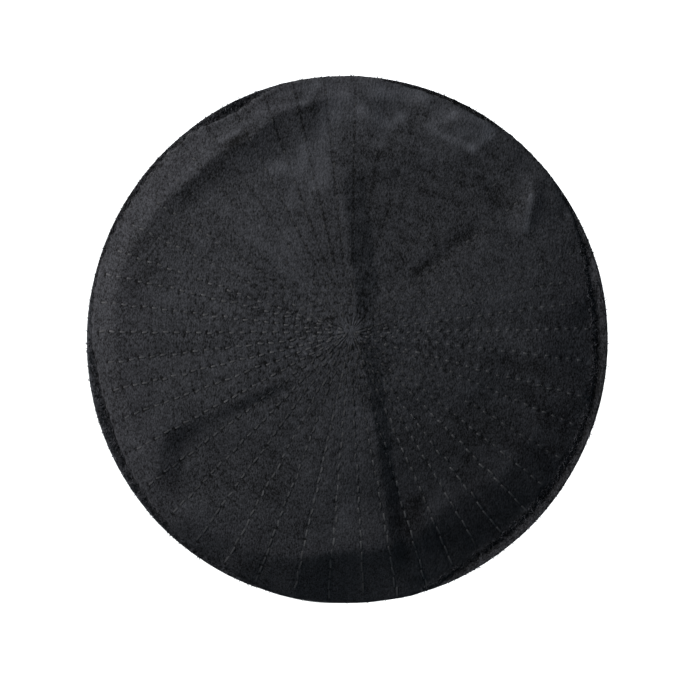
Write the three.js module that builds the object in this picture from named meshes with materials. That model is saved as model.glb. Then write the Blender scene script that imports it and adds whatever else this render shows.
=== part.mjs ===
// A fez-style velvet kufi: a soft, quilted round crown sewn to a tapered side band, open at the bottom.
// Lengths are in millimetres, +Z up, with the origin in the middle of the rim that stands on the table.
// Azimuths are in degrees, counter-clockwise from +X seen from above.
import * as THREE from "three";

const { clamp, degToRad, radToDeg, lerp, smoothstep } = THREE.MathUtils;

// Driving sizes
const OUTLINE_HALF_X = 87.4; // half widths of the outline seen from above, at the crown
const OUTLINE_HALF_Y = 88.6;
const HEIGHT = 95; // from the table to the middle of the crown
const RIM_RADIUS = 94.5; // outside of the band where it stands on the table
const CROWN_WALL = 2.6; // velvet, thin wadding and backing, quilted together
const BAND_WALL = 2.2;
const SEAM_GAP = 0.35; // between the crown's edge and the band's edge

// Crown
const HUB = { x: 1.3, y: 2.7 }; // where the quilting lines meet, a little off the middle
const DOME_RISE = 3; // how much higher the middle is than the shoulder
const QUILT_LINES = 48;
const QUILT_DEPTH = 0.4; // how far a line of stitches pulls the cloth down
const QUILT_START = 0.2; // share of the way out over which a line comes to its full depth
const QUILT_END = 0.05; // share of the way out over which it dies away before the seam
const CROWN_RINGS = 24;
const UNDERSIDE_RINGS = 10;
const RING_BIAS = 1.35; // above 1, the rings lie closer together towards the edge
const EDGE_WIDTH = 1.1; // the last turn down to the seam
const EDGE_TURN = 0.98; // share of a full quarter turn that the edge makes before the seam
const SLOPE_ROUND = 0.1; // how softly the shoulder's slope begins, as a share of its width
const STEP_POWER = 1.5; // above 1, the step inside the shoulder is steepest at its top
const PLEAT_RISE = 0.4; // how much the cloth rises to the line of a pleat or a crease
const FOLD_FADE = 6; // past its ends, a fold or a pleat dies away over this length

// Band
const HEM_WALL = 3; // the turned-up hem is thicker than the band
const HEM_TALL = 13;
const HEM_STEP = 1;
const BAND_ROWS = 7;
const ROLL_STEPS = 4;

// How far the sewn lines stray from an even spacing
const LINE_DRIFT = [
  { azimuth: 0, drift: 1 },
  { azimuth: 22, drift: -2 },
  { azimuth: 45, drift: 1 },
  { azimuth: 75, drift: 6.5 },
  { azimuth: 112, drift: 5 },
  { azimuth: 150, drift: 3.5 },
  { azimuth: 180, drift: 0 },
  { azimuth: 202, drift: -2 },
  { azimuth: 235, drift: 1.5 },
  { azimuth: 272, drift: 3 },
  { azimuth: 293, drift: 1 },
  { azimuth: 323, drift: -1 },
  { azimuth: 345, drift: 0 },
];

// How far the crown's seam lies inside the outline, where the band shows beyond it. The crest is how high the
// band stands there, as a share of that, and the turn is how far the crown's edge drops to the seam.
const SEAM_INSET = [
  { azimuth: 0, inset: 3.8, crest: 0.6, turn: 0.35 },
  { azimuth: 12, inset: 3.9, crest: 0.5, turn: 0.35 },
  { azimuth: 20, inset: 2.2, crest: 0.55, turn: 0.4 },
  { azimuth: 30, inset: 0.85, crest: 0.6, turn: 0.4 },
  { azimuth: 40, inset: 0.1, crest: 0.6, turn: 0.15 },
  { azimuth: 50, inset: 0.1, crest: 0.4, turn: 0.15 },
  { azimuth: 60, inset: 1.5, crest: 0.2, turn: 0.4 },
  { azimuth: 75, inset: 1.2, crest: 0.2, turn: 0.4 },
  { azimuth: 90, inset: 0.2, crest: 0.2, turn: 0.4 },
  { azimuth: 104, inset: 0.4, crest: 0.2, turn: 0.4 },
  { azimuth: 119, inset: 3.4, crest: 0.3, turn: 0.5 },
  { azimuth: 130, inset: 1.4, crest: 0.2, turn: 0.5 },
  { azimuth: 150, inset: 1.7, crest: 0.2, turn: 0.5 },
  { azimuth: 166, inset: 1, crest: 0.2, turn: 0.5 },
  { azimuth: 180, inset: 1.7, crest: 0.2, turn: 0.5 },
  { azimuth: 189, inset: 3.2, crest: 0.25, turn: 0.5 },
  { azimuth: 199, inset: 4, crest: 0.3, turn: 0.5 },
  { azimuth: 210, inset: 3.3, crest: 0.35, turn: 0.5 },
  { azimuth: 220, inset: 2.7, crest: 0.4, turn: 0.45 },
  { azimuth: 230, inset: 1.8, crest: 0.4, turn: 0.35 },
  { azimuth: 240, inset: 1.6, crest: 0.5, turn: 0.3 },
  { azimuth: 254, inset: 0.3, crest: 0.6, turn: 0.3 },
  { azimuth: 285, inset: 0.2, crest: 0.7, turn: 0.2 },
  { azimuth: 298, inset: 3.2, crest: 0.75, turn: 0.1 },
  { azimuth: 310, inset: 3.3, crest: 0.7, turn: 0.1 },
  { azimuth: 320, inset: 3.3, crest: 0.7, turn: 0.1 },
  { azimuth: 330, inset: 2.8, crest: 0.65, turn: 0.1 },
  { azimuth: 346, inset: 3.1, crest: 0.6, turn: 0.25 },
];

// The shoulder slopes down to the seam by a drop over a width. Inside it the crown may lie lower, by the lip,
// and steps up over the step's width.
const SHOULDER = [
  { azimuth: 0, width: 20, drop: 2, lip: 0, step: 8 },
  { azimuth: 14, width: 12, drop: 0.4, lip: 0, step: 8 },
  { azimuth: 50, width: 6, drop: 0.5, lip: 0, step: 8 },
  { azimuth: 75, width: 6.5, drop: 0.8, lip: 0.3, step: 9 },
  { azimuth: 92, width: 7, drop: 0.6, lip: 1.2, step: 11 },
  { azimuth: 105, width: 8.5, drop: 0.2, lip: 2.3, step: 13 },
  { azimuth: 120, width: 10.5, drop: 1, lip: 2.2, step: 11.5 },
  { azimuth: 136, width: 11.8, drop: 1.8, lip: 1.6, step: 9 },
  { azimuth: 150, width: 8.8, drop: 2.2, lip: 0.6, step: 9 },
  { azimuth: 166, width: 7.5, drop: 3, lip: 0.2, step: 9 },
  { azimuth: 182, width: 7.5, drop: 2.9, lip: 0, step: 8 },
  { azimuth: 210, width: 7, drop: 1.8, lip: 0, step: 8 },
  { azimuth: 226, width: 7, drop: 1, lip: 0, step: 8 },
  { azimuth: 241, width: 9, drop: 3, lip: 0, step: 8 },
  { azimuth: 256, width: 13, drop: 5.5, lip: 0, step: 8 },
  { azimuth: 269, width: 18, drop: 8, lip: 0, step: 8 },
  { azimuth: 285, width: 18, drop: 5, lip: 0, step: 8 },
  { azimuth: 302, width: 20, drop: 4.8, lip: 0, step: 8 },
  { azimuth: 318, width: 16, drop: 3.6, lip: 0, step: 8 },
  { azimuth: 336, width: 15, drop: 2, lip: 0, step: 8 },
];

// Soft folds in the crown, ridges where height is above 0 and valleys where it is below. Each runs from
// (x0, y0) to (x1, y1), with half widths to the left and the right of that way.
const FOLDS = {
  right_dent: { x0: 22.9, y0: 21.6, x1: 45.5, y1: 38.1, height: -0.5, left: 3.2, right: 3.2 },
  right_pit: { x0: 48, y0: 51, x1: 54, y1: 46, height: -0.9, left: 4, right: 4 },
  right_pinch: { x0: 59, y0: 37.4, x1: 63.7, y1: 52.9, height: 0.9, left: 3.2, right: 3.2 },
  right_crease: { x0: 34.7, y0: -3.7, x1: 66.7, y1: -9.1, height: -0.3, left: 3.2, right: 3.2 },
  back_pucker: { x0: 10.4, y0: 81.2, x1: 8.4, y1: 87, height: 0.8, left: 3.5, right: 3.5 },
  back_pinch: { x0: 5, y0: 76.5, x1: 10, y1: 72.5, height: 0.8, left: 3.2, right: 3.2 },
  back_swell: { x0: 28.6, y0: 73.1, x1: 47.5, y1: 71.8, height: 0.9, left: 4.5, right: 4.5 },
  front_break: { x0: -15.8, y0: -71.1, x1: 13.8, y1: -69.8, height: 0.7, left: 8, right: 4 },
  front_sag: { x0: 30, y0: -72, x1: 74, y1: -20, height: -2.2, left: 36, right: 80 },
};

// Sharp pleats and creases, from (x0, y0) to (x1, y1). On the left of that way the cloth rises gently to the
// line. On the right it drops steadily over the ramp's width, and comes back to level further on.
const PLEATS = {
  crease_front: { x0: 16, y0: -76, x1: 8.1, y1: -20.6, drop: 1.4, left: 16, ramp: 4.6, far: 40 },
  crease_middle: { x0: 7.6, y0: -20.6, x1: 2.9, y1: 13.1, drop: 0.9, left: 16, ramp: 5.5, far: 40 },
  crease_back: { x0: 3.4, y0: 13.1, x1: -1.5, y1: 54, drop: 1.7, left: 16, ramp: 7.7, far: 45 },
  pleat: { x0: -44.8, y0: -23.7, x1: -20.2, y1: -13, drop: 0.8, left: 14, ramp: 3.3, far: 30 },
  pleat_outer: { x0: -61.2, y0: -30.8, x1: -44.8, y1: -23.7, drop: 1.2, left: 14, ramp: 5.4, far: 30 },
  pleat_end: { x0: -64.2, y0: -50, x1: -61.2, y1: -30.8, drop: 1.35, left: 10, ramp: 7.4, far: 24 },
};

// The band's roll beside the seam, as the four points of a smooth curve from the seam to the top of the side:
// out as shares of the seam's inset, up as shares of the crest's height, and how far it lies below the seam
const ROLL = [
  { out: 0, rise: 0, below: 0 },
  { out: 0.45, rise: 0, below: 0.2 },
  { out: 0.75, rise: 1, below: 0.2 },
  { out: 1, rise: 1, below: 0.5 },
];

// Shallow dents in the side of the band, and one swelling where depth is below 0
const SIDE_DENTS = [
  { azimuth: 35, z: 52, depth: 1.6, spread: 26, tall: 24 },
  { azimuth: 118, z: 58, depth: 2.2, spread: 20, tall: 22 },
  { azimuth: 205, z: 50, depth: 1.8, spread: 24, tall: 26 },
  { azimuth: 262, z: 44, depth: -1.4, spread: 22, tall: 24 },
  { azimuth: 318, z: 60, depth: 1.5, spread: 18, tall: 20 },
];

const turn = (degrees) => ((degrees % 360) + 360) % 360;

const bell = (distance, width) => Math.exp(-((distance / width) ** 2));

// The value of a table's column at an azimuth, eased from row to row and round again.
function around(table, column, azimuth) {
  const starts = table.map((row) => turn(row.azimuth - table[0].azimuth));
  const at = turn(azimuth - table[0].azimuth);
  const row = starts.findLastIndex((start) => start <= at);
  const next = table[(row + 1) % table.length];
  const end = starts[row + 1] ?? 360;
  return lerp(table[row][column], next[column], smoothstep(at, starts[row], end));
}

// The azimuth of a quilting line. Half numbers lie midway between two lines.
function lineAzimuth(number) {
  const even = (360 * number) / QUILT_LINES;
  return even + around(LINE_DRIFT, "drift", even);
}

// From the hub to the crown's seam along an azimuth.
function seamReach(azimuth) {
  const inset = around(SEAM_INSET, "inset", azimuth);
  const a = OUTLINE_HALF_X - inset;
  const b = OUTLINE_HALF_Y - inset;
  const dx = Math.cos(degToRad(azimuth));
  const dy = Math.sin(degToRad(azimuth));
  const square = (dx / a) ** 2 + (dy / b) ** 2;
  const linear = (HUB.x * dx) / a ** 2 + (HUB.y * dy) / b ** 2;
  const rest = (HUB.x / a) ** 2 + (HUB.y / b) ** 2 - 1;
  return (-linear + Math.sqrt(linear ** 2 - square * rest)) / square;
}

// How far (x, y) lies to the left of a line, and a share that dies away past the line's ends.
function besideLine(line, x, y) {
  const length = Math.hypot(line.x1 - line.x0, line.y1 - line.y0);
  const ux = (line.x1 - line.x0) / length;
  const uy = (line.y1 - line.y0) / length;
  const along = (x - line.x0) * ux + (y - line.y0) * uy;
  const across = (y - line.y0) * ux - (x - line.x0) * uy;
  const begun = smoothstep(along, -FOLD_FADE, FOLD_FADE);
  return { across, present: begun * smoothstep(length - along, -FOLD_FADE, FOLD_FADE) };
}

// The height that one fold adds at (x, y).
function foldHeight(fold, x, y) {
  const { across, present } = besideLine(fold, x, y);
  return fold.height * bell(across, across > 0 ? fold.left : fold.right) * present;
}

// The height that one pleat adds at (x, y).
function pleatHeight(pleat, x, y) {
  const { across, present } = besideLine(pleat, x, y);
  if (across > 0) return PLEAT_RISE * bell(across, pleat.left) * present;
  const dropped = PLEAT_RISE - pleat.drop * Math.min(-across / pleat.ramp, 1);
  return dropped * bell(Math.max(-across - pleat.ramp, 0), pleat.far) * present;
}

// How far the crown's edge has turned down at a distance from the seam, as a share of the whole turn.
function edgeTurn(edge) {
  const fall = (turned) => 1 - Math.sqrt(1 - turned ** 2);
  return fall(EDGE_TURN * Math.max(0, 1 - edge / EDGE_WIDTH)) / fall(EDGE_TURN);
}

// How far the shoulder has sloped down, as a share of its whole drop.
function slopeShare(edge, width) {
  const softened = (into) => into + Math.hypot(into, SLOPE_ROUND);
  return softened(1 - edge / width) / softened(1);
}

// The crown's surface at a share of the way from the hub to the seam, at a depth below its outer face.
function crownPoint(share, azimuth, depth) {
  const reach = seamReach(azimuth) - depth;
  const edge = (1 - share) * reach;
  const x = HUB.x + share * reach * Math.cos(degToRad(azimuth));
  const y = HUB.y + share * reach * Math.sin(degToRad(azimuth));
  const shoulder = (column) => around(SHOULDER, column, azimuth);
  const width = shoulder("width");
  const sloped = shoulder("drop") * slopeShare(edge, width);
  const inward = clamp((edge - width) / shoulder("step"), 0, 1);
  const lifted = shoulder("lip") * (1 - inward) ** STEP_POWER;
  const folds = Object.values(FOLDS).reduce((sum, fold) => sum + foldHeight(fold, x, y), 0);
  const pleats = Object.values(PLEATS).reduce((sum, pleat) => sum + pleatHeight(pleat, x, y), 0);
  const dome = DOME_RISE * ((x / OUTLINE_HALF_X) ** 2 + (y / OUTLINE_HALF_Y) ** 2);
  const level = HEIGHT - depth - dome - sloped + lifted + folds + pleats;
  const turned = (around(SEAM_INSET, "turn", azimuth) - depth) * edgeTurn(edge);
  return new THREE.Vector3(x, y, level - turned);
}

// A column of the roll's table along its curve.
function rollCurve(column, t) {
  const [a, b, c, d] = ROLL.map((row) => row[column]);
  return a * (1 - t) ** 3 + 3 * b * t * (1 - t) ** 2 + 3 * c * t ** 2 * (1 - t) + d * t ** 3;
}

// How far in the band's side is dented at a bearing and a height. Its top and its rim keep their shape.
function sideDent(bearing, z, sideTop) {
  const sum = SIDE_DENTS.reduce((total, dent) => {
    const aside = turn(bearing - dent.azimuth + 180) - 180;
    return total + dent.depth * bell(aside, dent.spread) * bell(z - dent.z, dent.tall);
  }, 0);
  return sum * Math.sin((Math.PI * z) / sideTop);
}

// The band's section at an azimuth, a closed loop: down its outside from the seam, and up its inside.
function bandSection(azimuth) {
  const seam = crownPoint(1, azimuth, 0);
  const inset = around(SEAM_INSET, "inset", azimuth);
  const bearing = Math.atan2(seam.y, seam.x);
  const seamRadius = Math.hypot(seam.x, seam.y);
  const point = (radius, z) => new THREE.Vector3(radius * Math.cos(bearing), radius * Math.sin(bearing), z);

  const seamZ = seam.z - SEAM_GAP;
  const crest = inset * around(SEAM_INSET, "crest", azimuth);
  const rollZ = (t) => seamZ - rollCurve("below", t) + rollCurve("rise", t) * crest;
  const roll = Array.from({ length: ROLL_STEPS }, (_, step) => {
    const t = step / ROLL_STEPS;
    return point(seamRadius + rollCurve("out", t) * inset, rollZ(t));
  });

  const sideTop = rollZ(1);
  const insideTop = Math.min(sideTop, seamZ) - BAND_WALL;
  const tapered = (z) => lerp(RIM_RADIUS, seamRadius + inset, z / sideTop);
  const sideRadius = (z) => tapered(z) - sideDent(radToDeg(bearing), z, sideTop);
  const heights = Array.from({ length: BAND_ROWS + 1 }, (_, row) => sideTop * (1 - row / BAND_ROWS));
  const outside = heights.map((z) => point(sideRadius(z), z));
  const inside = heights
    .filter((z) => z > HEM_TALL + HEM_STEP)
    .map((z) => point(sideRadius(z) - BAND_WALL, Math.min(z, insideTop)));
  const hem = [
    point(RIM_RADIUS - HEM_WALL, 0),
    point(sideRadius(HEM_TALL) - HEM_WALL, HEM_TALL),
    point(sideRadius(HEM_TALL) - BAND_WALL, HEM_TALL + HEM_STEP),
  ];
  return [...roll, ...outside, ...hem, ...inside.reverse(), point(seamRadius - BAND_WALL, seamZ)];
}

// The crown's section on a quilting line, or midway between two: out over its top, and back underneath.
function crownSection(number) {
  const azimuth = lineAzimuth(number);
  const depth = Number.isInteger(number) ? QUILT_DEPTH : 0;
  const ringShare = (ring, rings) => 1 - (1 - ring / rings) ** RING_BIAS;
  const shares = (rings) => Array.from({ length: rings + 1 }, (_, ring) => ringShare(ring, rings));
  const top = shares(CROWN_RINGS).map((share) => {
    const point = crownPoint(share, azimuth, 0);
    point.z -= depth * smoothstep(share, 0, QUILT_START) * smoothstep(1 - share, 0, QUILT_END);
    return point;
  });
  const underside = shares(UNDERSIDE_RINGS).map((share) => crownPoint(share, azimuth, CROWN_WALL));
  return [...top, ...underside.reverse()];
}

// A closed body from like sections that stand side by side round the axis, each a list of points. Where the
// sections aren't loops, their first and last points are the body's poles.
function loft(sections, isLoop) {
  const count = sections.length;
  const rows = sections[0].length;
  const index = [];
  const at = (section, row) => {
    const isPole = !isLoop && (row === 0 || row === rows - 1);
    return (isPole ? 0 : section % count) * rows + (row % rows);
  };
  for (let section = 0; section < count; section++) {
    for (let row = 0; row < (isLoop ? rows : rows - 1); row++) {
      const [here, below] = [at(section, row), at(section, row + 1)];
      const [beside, across] = [at(section + 1, row), at(section + 1, row + 1)];
      if (below !== across) index.push(here, below, across);
      if (here !== beside) index.push(here, across, beside);
    }
  }
  const geometry = new THREE.BufferGeometry().setFromPoints(sections.flat());
  geometry.setIndex(index);
  geometry.computeVertexNormals();
  return geometry;
}

function cloth(name, geometry) {
  const velvet = new THREE.MeshStandardMaterial({ color: 0x1a1b1e, roughness: 0.95, metalness: 0 });
  const mesh = new THREE.Mesh(geometry, velvet);
  mesh.name = name;
  return mesh;
}

const halfLines = Array.from({ length: 2 * QUILT_LINES }, (_, half) => half / 2);
const bandSections = halfLines.map((number) => bandSection(lineAzimuth(number)));
const kufi = new THREE.Group();
kufi.add(cloth("crown", loft(halfLines.map(crownSection), false)));
kufi.add(cloth("side_band", loft(bandSections, true)));

export default kufi;
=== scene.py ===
"""A fez-style velvet kufi, seen straight from above: its quilted crown, its stitches and its side band.

Shapes are worked out in millimetres, in the frame of the solids, and turned to metres when a mesh is made.
Azimuths are in degrees, counter-clockwise from +X seen from above.
"""

import math

import bpy
import numpy as np
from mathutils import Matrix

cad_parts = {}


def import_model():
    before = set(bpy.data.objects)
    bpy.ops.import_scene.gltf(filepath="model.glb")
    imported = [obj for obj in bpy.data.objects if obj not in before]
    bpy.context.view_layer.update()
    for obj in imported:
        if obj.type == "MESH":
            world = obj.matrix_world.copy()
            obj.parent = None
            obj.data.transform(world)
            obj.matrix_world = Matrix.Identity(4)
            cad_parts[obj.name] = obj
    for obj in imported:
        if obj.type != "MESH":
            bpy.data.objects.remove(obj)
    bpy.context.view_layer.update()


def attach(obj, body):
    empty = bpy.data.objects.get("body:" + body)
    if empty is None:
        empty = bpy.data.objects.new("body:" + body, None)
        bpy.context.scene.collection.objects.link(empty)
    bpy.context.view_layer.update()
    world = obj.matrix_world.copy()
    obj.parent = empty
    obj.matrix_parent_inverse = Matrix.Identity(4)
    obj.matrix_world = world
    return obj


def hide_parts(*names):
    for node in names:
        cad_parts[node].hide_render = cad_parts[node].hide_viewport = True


MM = 0.001
SEED = 7

# Sizes that the solids have too
OUTLINE_HALF_X = 87.4
OUTLINE_HALF_Y = 88.6
HEIGHT = 95
RIM_RADIUS = 94.5
CROWN_WALL = 2.6
BAND_WALL = 2.2
HUB_X = 1.3
HUB_Y = 2.7
DOME_RISE = 3
QUILT_LINES = 48
EDGE_WIDTH = 1.1  # the last turn down to the seam
EDGE_TURN = 0.98
SLOPE_ROUND = 0.1
STEP_POWER = 1.5
FOLD_FADE = 6  # past its ends, a fold or a pleat dies away over this length
HEM_WALL = 3
HEM_TALL = 13
HEM_STEP = 1

# Fine surface of the crown
QUILT_DEPTH = 0.13  # how far a wide panel stands above its sewn lines
PANEL_HALF = 3  # width of the panel that stands half as high
PANEL_TONE = 0.07  # how much lighter or darker a panel's pile may look than its neighbours
PILLOW = 0.7  # below 1, a panel rises steeply from its lines and is flat in the middle
PUFF_SHARES = (0.65, 1.35)  # how much a panel's height differs from its neighbours'
PANEL_LEANS = (-0.45, 0.45)  # how far a panel's highest place lies to one side
FINE_FADE = 3  # beside the seam, the quilting and the lumps fade out over this width
# the shoulder's painted highlight and painted shade set in between these shares
SHOULDER_TONE = (1.5, 0.7)  # shares of the shoulder's width between which its tone sets in
PANEL_COLUMNS = (0, 0.035, 0.08, 0.15, 0.26, 0.42, 0.58, 0.74, 0.85, 0.92, 0.965)
CROWN_RINGS = 150
UNDERSIDE_RINGS = 20
RING_BIAS = 1.15
LUMP_COUNT = 14
LUMP_HEIGHT = 0.02
LUMP_LENGTHS = (12, 38)
PUCKER_REACH = 6
HUB_REACH = 3.2  # the pile is pulled into fine rays round the hub
CROWN_FLECKS = 0.25
SHARP_DEG = 55  # an edge that turns more than this isn't smoothed

# Stitches
STITCH_PITCH = 3.5
PITCH_SHARES = (0.94, 1.06)  # how much a line's own pitch differs
THREAD_HALF_WIDTH = 0.35  # the thread lies flat
THREAD_HALF_HEIGHT = 0.1
HEM_STITCH_SHARE = 0.62
# painted shade in the stitch holes, where the pile is parted
HOLE_PAINTED_SHADE = -0.8
HOLE_GROWTH = (7, 30)  # near the hub the holes crowd together, and each shows less
HOLE_SPOT = {"middle": 0.5, "long": 0.6, "wide": 1.3}  # middle within a stitch, half length, half width
SWELL_SPOT = {"middle": 0, "long": 1, "wide": 1.2}
# painted highlight on the pile that puffs up between two holes
SWELL_PAINTED_HIGHLIGHT = 1.2
GROOVE_WIDE = 0.6
LINE_STARTS = (0.7, 7.5, 4.2)  # distances from the hub, different so that the lines don't heap up
LINE_END = 0.995
LINE_MISS = 0.4  # how far aside of the hub a line may aim
STITCH_STEPS = (0, 0.12, 0.3, 0.5, 0.7, 0.88, 1)
STITCH_LIFT = (-0.4, -0.05, 0.02, 0.03, 0.02, -0.05, -0.4)  # an arch, sunk at both ends
STITCH_GIRTH = (0, 0.8, 1, 1, 1, 0.8, 0)
STITCH_UNEVEN = 0.05
SINK_UNEVEN = 0.03
SHADE_UNEVEN = 0.15
STITCH_ASIDE = 0.16
STITCH_SLANT = 0.3
THREAD_SIDES = 6
HUB_SHARES = (0.05, 0.55)  # near the hub the thread is sunk in the pile and shows less

# Loose fibres, on the strip beside the seam and on the crown's edge
FIBRE_RADIUS = 0.15
RIM_FIBRES = 4000
EDGE_FIBRES = 800
FIBRE_LENGTHS = (0.7, 1.8)
FIBRE_TONES = (-0.4, 1.6)
FIBRE_OUT = 0.5  # how far the fibres lean outward or inward, aside, and up
FIBRE_ASIDE = 0.8
FIBRE_UP = 0.3
FIBRE_CORNERS = (90, 210, 330)
ACROSS_FIBRES = (0.3, 0.2, 0.9)  # a way that the fibres don't lie along
EDGE_STRIP = 1.6
EDGE_AZIMUTHS = (285, 382)

# Fine surface of the band
BAND_COLUMNS = 960
ROLL_STEPS = 10
ROLL_PUCKER = 0.5  # how much of the crown's puckers the roll follows
SIDE_ROWS = 36
INSIDE_ROWS = 14
HEM_ROUND = 1.2
HEM_TURNS = (0, 30, 60, 90)
HEM_STITCH_Z = 10.5
HEM_STITCH_SHOW = 0.12
HEM_STITCH_UNEVEN = 0.12
HEM_SHADE = 0.9
# the strip's tone beside the seam is painted shade and painted highlight
STRIP_FADE = (0.5, 4)  # below the top of the side, the strip beside the seam loses its own tone
STRIP_CRUSH = 0.6
STRIP_CALM = 2  # the darker the strip, the less frayed it looks
SIDE_CRUSH = 0.15
JOIN_AZIMUTH = 90
JOIN_DEPTH = 0.7
JOIN_WIDTH = 1.3

# Photograph, with its side in pixels, and how far above the outline it was taken
PHOTO_SIDE = 700
OUTLINE_WIDTH_PX = 519.9
OUTLINE_CENTRE_PX = (346.8, 340.6)
CAMERA_CLEARANCE = 860
OUTLINE_Z = HEIGHT - 7


def table(columns, rows):
    """Rows of values, each under the columns' names."""
    names = columns.split()
    return [dict(zip(names, row)) for row in rows]


# Materials: the base colour, the roughness, the shine, and the strength and depth of the fine relief
MATERIALS = table("name base roughness shine relief depth", [
    ("velvet_pile", (0.0117, 0.0122, 0.0141), 0.85, 0.05, 0.4, 0.0005),
    ("sewing_thread", (0.0195, 0.0199, 0.0215), 0.8, 0.1, 0.4, 0.0002),
    ("plain_backing", (0.03, 0.03, 0.032), 0.8, 0.5, 0.5, 0.0003),
    ("pale_floor", (0.86, 0.86, 0.86), 0.9, 0.1, 0, 0),
])
SHEEN = {"Sheen Weight": 0.012, "Sheen Roughness": 0.4, "Sheen Tint": (0.82, 0.88, 1, 1)}
WEAVE_STOPS = ((0.1, (0.012, 0.012, 0.013)), (0.42, (0.045, 0.045, 0.048)))  # between yarns, and on them

# Noises: how fine they are, how much finer detail they have, and how they are drawn out along X, Y and Z
NOISES = table("name scale detail stretch", [
    ("tufts", 1500, 2, (1, 0.6, 1)),
    ("fibres", 3000, 1, (1, 0.5, 1)),
    ("patches", 230, 3, (1, 1, 1)),
    ("flecks", 620, 1, (1, 1, 1)),
    ("strands", 2600, 2, (1, 1, 1)),
    ("weave", 1400, 2, (1, 1, 0.4)),
    ("slubs", 1400, 2, (0.4, 0.4, 1)),
])

# How much the noises lighten and darken the pile, what crushing adds, and the darkest that the pile gets
TUFT_CONTRAST = 2
FIBRE_CONTRAST = 3.1
PATCH_CONTRAST = 0.9
CRUSH_CONTRAST = 1.6
FLECK_CONTRAST = 2.2
NOISE_MIDDLE = 0.5
DARKEST_PILE = 0.1

# Lamps, with distance and side in metres. The first lights the kufi, the second only the floor.
KEY_LAMP, FLOOR_LAMP = table("name azimuth elevation distance side watts colour", [
    ("key", 147, 21, 0.6, 0.25, 14, (1.045, 1.01, 0.978)),
    ("floor_light", 0, 90, 1.6, 2.4, 110, (1, 1, 1)),
])
SKY_COLOUR = (0.76, 0.96, 1.08, 1)
SKY_STRENGTH = 0.3
FLOOR_HALF = 3  # in metres

# What is uneven all round the crown: how often its waves go round, and how much they sum to
WAVE_COUNT = 6
WAVES = table("name fewest most size", [
    ("puckers", 24, 70, 0.22),
    ("seam_stray", 30, 130, 0.25),
    ("tufts", 110, 300, 0.1),
    ("rays", 16, 45, 0.9),
])

# How far the sewn lines stray from an even spacing
LINE_DRIFT = table("azimuth drift", [
    (0, 1), (22, -2), (45, 1), (75, 6.5), (112, 5), (150, 3.5), (180, 0),
    (202, -2), (235, 1.5), (272, 3), (293, 1), (323, -1), (345, 0),
])

# How far the crown's seam lies inside the outline, where the band shows. The crest is how high the band
# stands there, as a share of that, and the turn how far the crown's edge drops to the seam. The tone is
# how much lighter, or darker below 0, the band's pile is painted beside the seam, as painted shade of the
# seam's groove and painted highlight, and lit is so at the outline, as painted shade and painted sheen of
# the edge.
SEAM_INSET = table("azimuth inset crest turn tone lit", [
    (0, 3.8, 0.6, 0.35, -0.5, -0.45),
    (12, 3.9, 0.5, 0.35, -0.2, -0.1),
    (20, 2.2, 0.55, 0.4, -0.5, -0.4),
    (30, 0.85, 0.6, 0.4, -0.6, -0.6),
    (40, 0.1, 0.6, 0.15, 0, 0),
    (50, 0.1, 0.4, 0.15, 0, 0),
    (60, 1.5, 0.2, 0.4, -0.8, -0.8),
    (75, 1.2, 0.2, 0.4, -0.8, -0.75),
    (90, 0.2, 0.2, 0.4, 0, 0),
    (104, 0.4, 0.2, 0.4, 0, 0),
    (119, 3.4, 0.3, 0.5, -0.55, -0.4),
    (130, 1.4, 0.2, 0.5, -0.3, -0.25),
    (150, 1.7, 0.2, 0.5, -0.6, -0.6),
    (166, 1, 0.2, 0.5, -0.4, -0.3),
    (180, 1.7, 0.2, 0.5, 0.1, 1.2),
    (189, 3.2, 0.25, 0.5, -0.4, 1.4),
    (199, 4, 0.3, 0.5, -0.45, 0.6),
    (210, 3.3, 0.35, 0.5, -0.4, 0.9),
    (220, 2.7, 0.4, 0.45, -0.55, 0.9),
    (230, 1.8, 0.4, 0.35, -0.35, -0.2),
    (240, 1.6, 0.5, 0.3, -0.1, -0.1),
    (254, 0.3, 0.6, 0.3, 0, 1),
    (285, 0.2, 0.7, 0.2, 0, 0),
    (298, 3.2, 0.75, 0.1, -0.75, -0.2),
    (310, 3.3, 0.7, 0.1, -0.45, -0.2),
    (320, 3.3, 0.7, 0.1, -0.35, -0.65),
    (330, 2.8, 0.65, 0.1, -0.6, -0.55),
    (346, 3.1, 0.6, 0.25, -0.75, -0.5),
])

# The shoulder slopes down to the seam by a drop over a width. Inside it the crown may lie lower, by the
# lip, and steps up over the step's width. The tone is how much lighter the pile of the shoulder is
# painted:
# painted highlight, and painted shade below 0, for how the shoulder faces the light.
SHOULDER = table("azimuth width drop lip step tone", [
    (0, 20, 2, 0, 8, 0),
    (14, 12, 0.4, 0, 8, 0),
    (50, 6, 0.5, 0, 8, 0.1),
    (75, 6.5, 0.8, 0.3, 9, 0.35),
    (92, 7, 0.6, 1.2, 11, 0.2),
    (105, 8.5, 0.2, 2.3, 13, 0),
    (120, 10.5, 1, 2.2, 11.5, 0),
    (136, 11.8, 1.8, 1.6, 9, 0),
    (150, 8.8, 2.2, 0.6, 9, 0),
    (166, 7.5, 3, 0.2, 9, 0),
    (182, 7.5, 2.9, 0, 8, 0),
    (210, 7, 1.8, 0, 8, 0),
    (226, 7, 1, 0, 8, -0.05),
    (241, 9, 3, 0, 8, -0.2),
    (256, 13, 5.5, 0, 8, -0.1),
    (269, 18, 8, 0, 8, 0),
    (285, 18, 5, 0, 8, 0),
    (302, 20, 4.8, 0, 8, 0),
    (318, 16, 3.6, 0, 8, 0),
    (336, 15, 2, 0, 8, 0),
])
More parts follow.
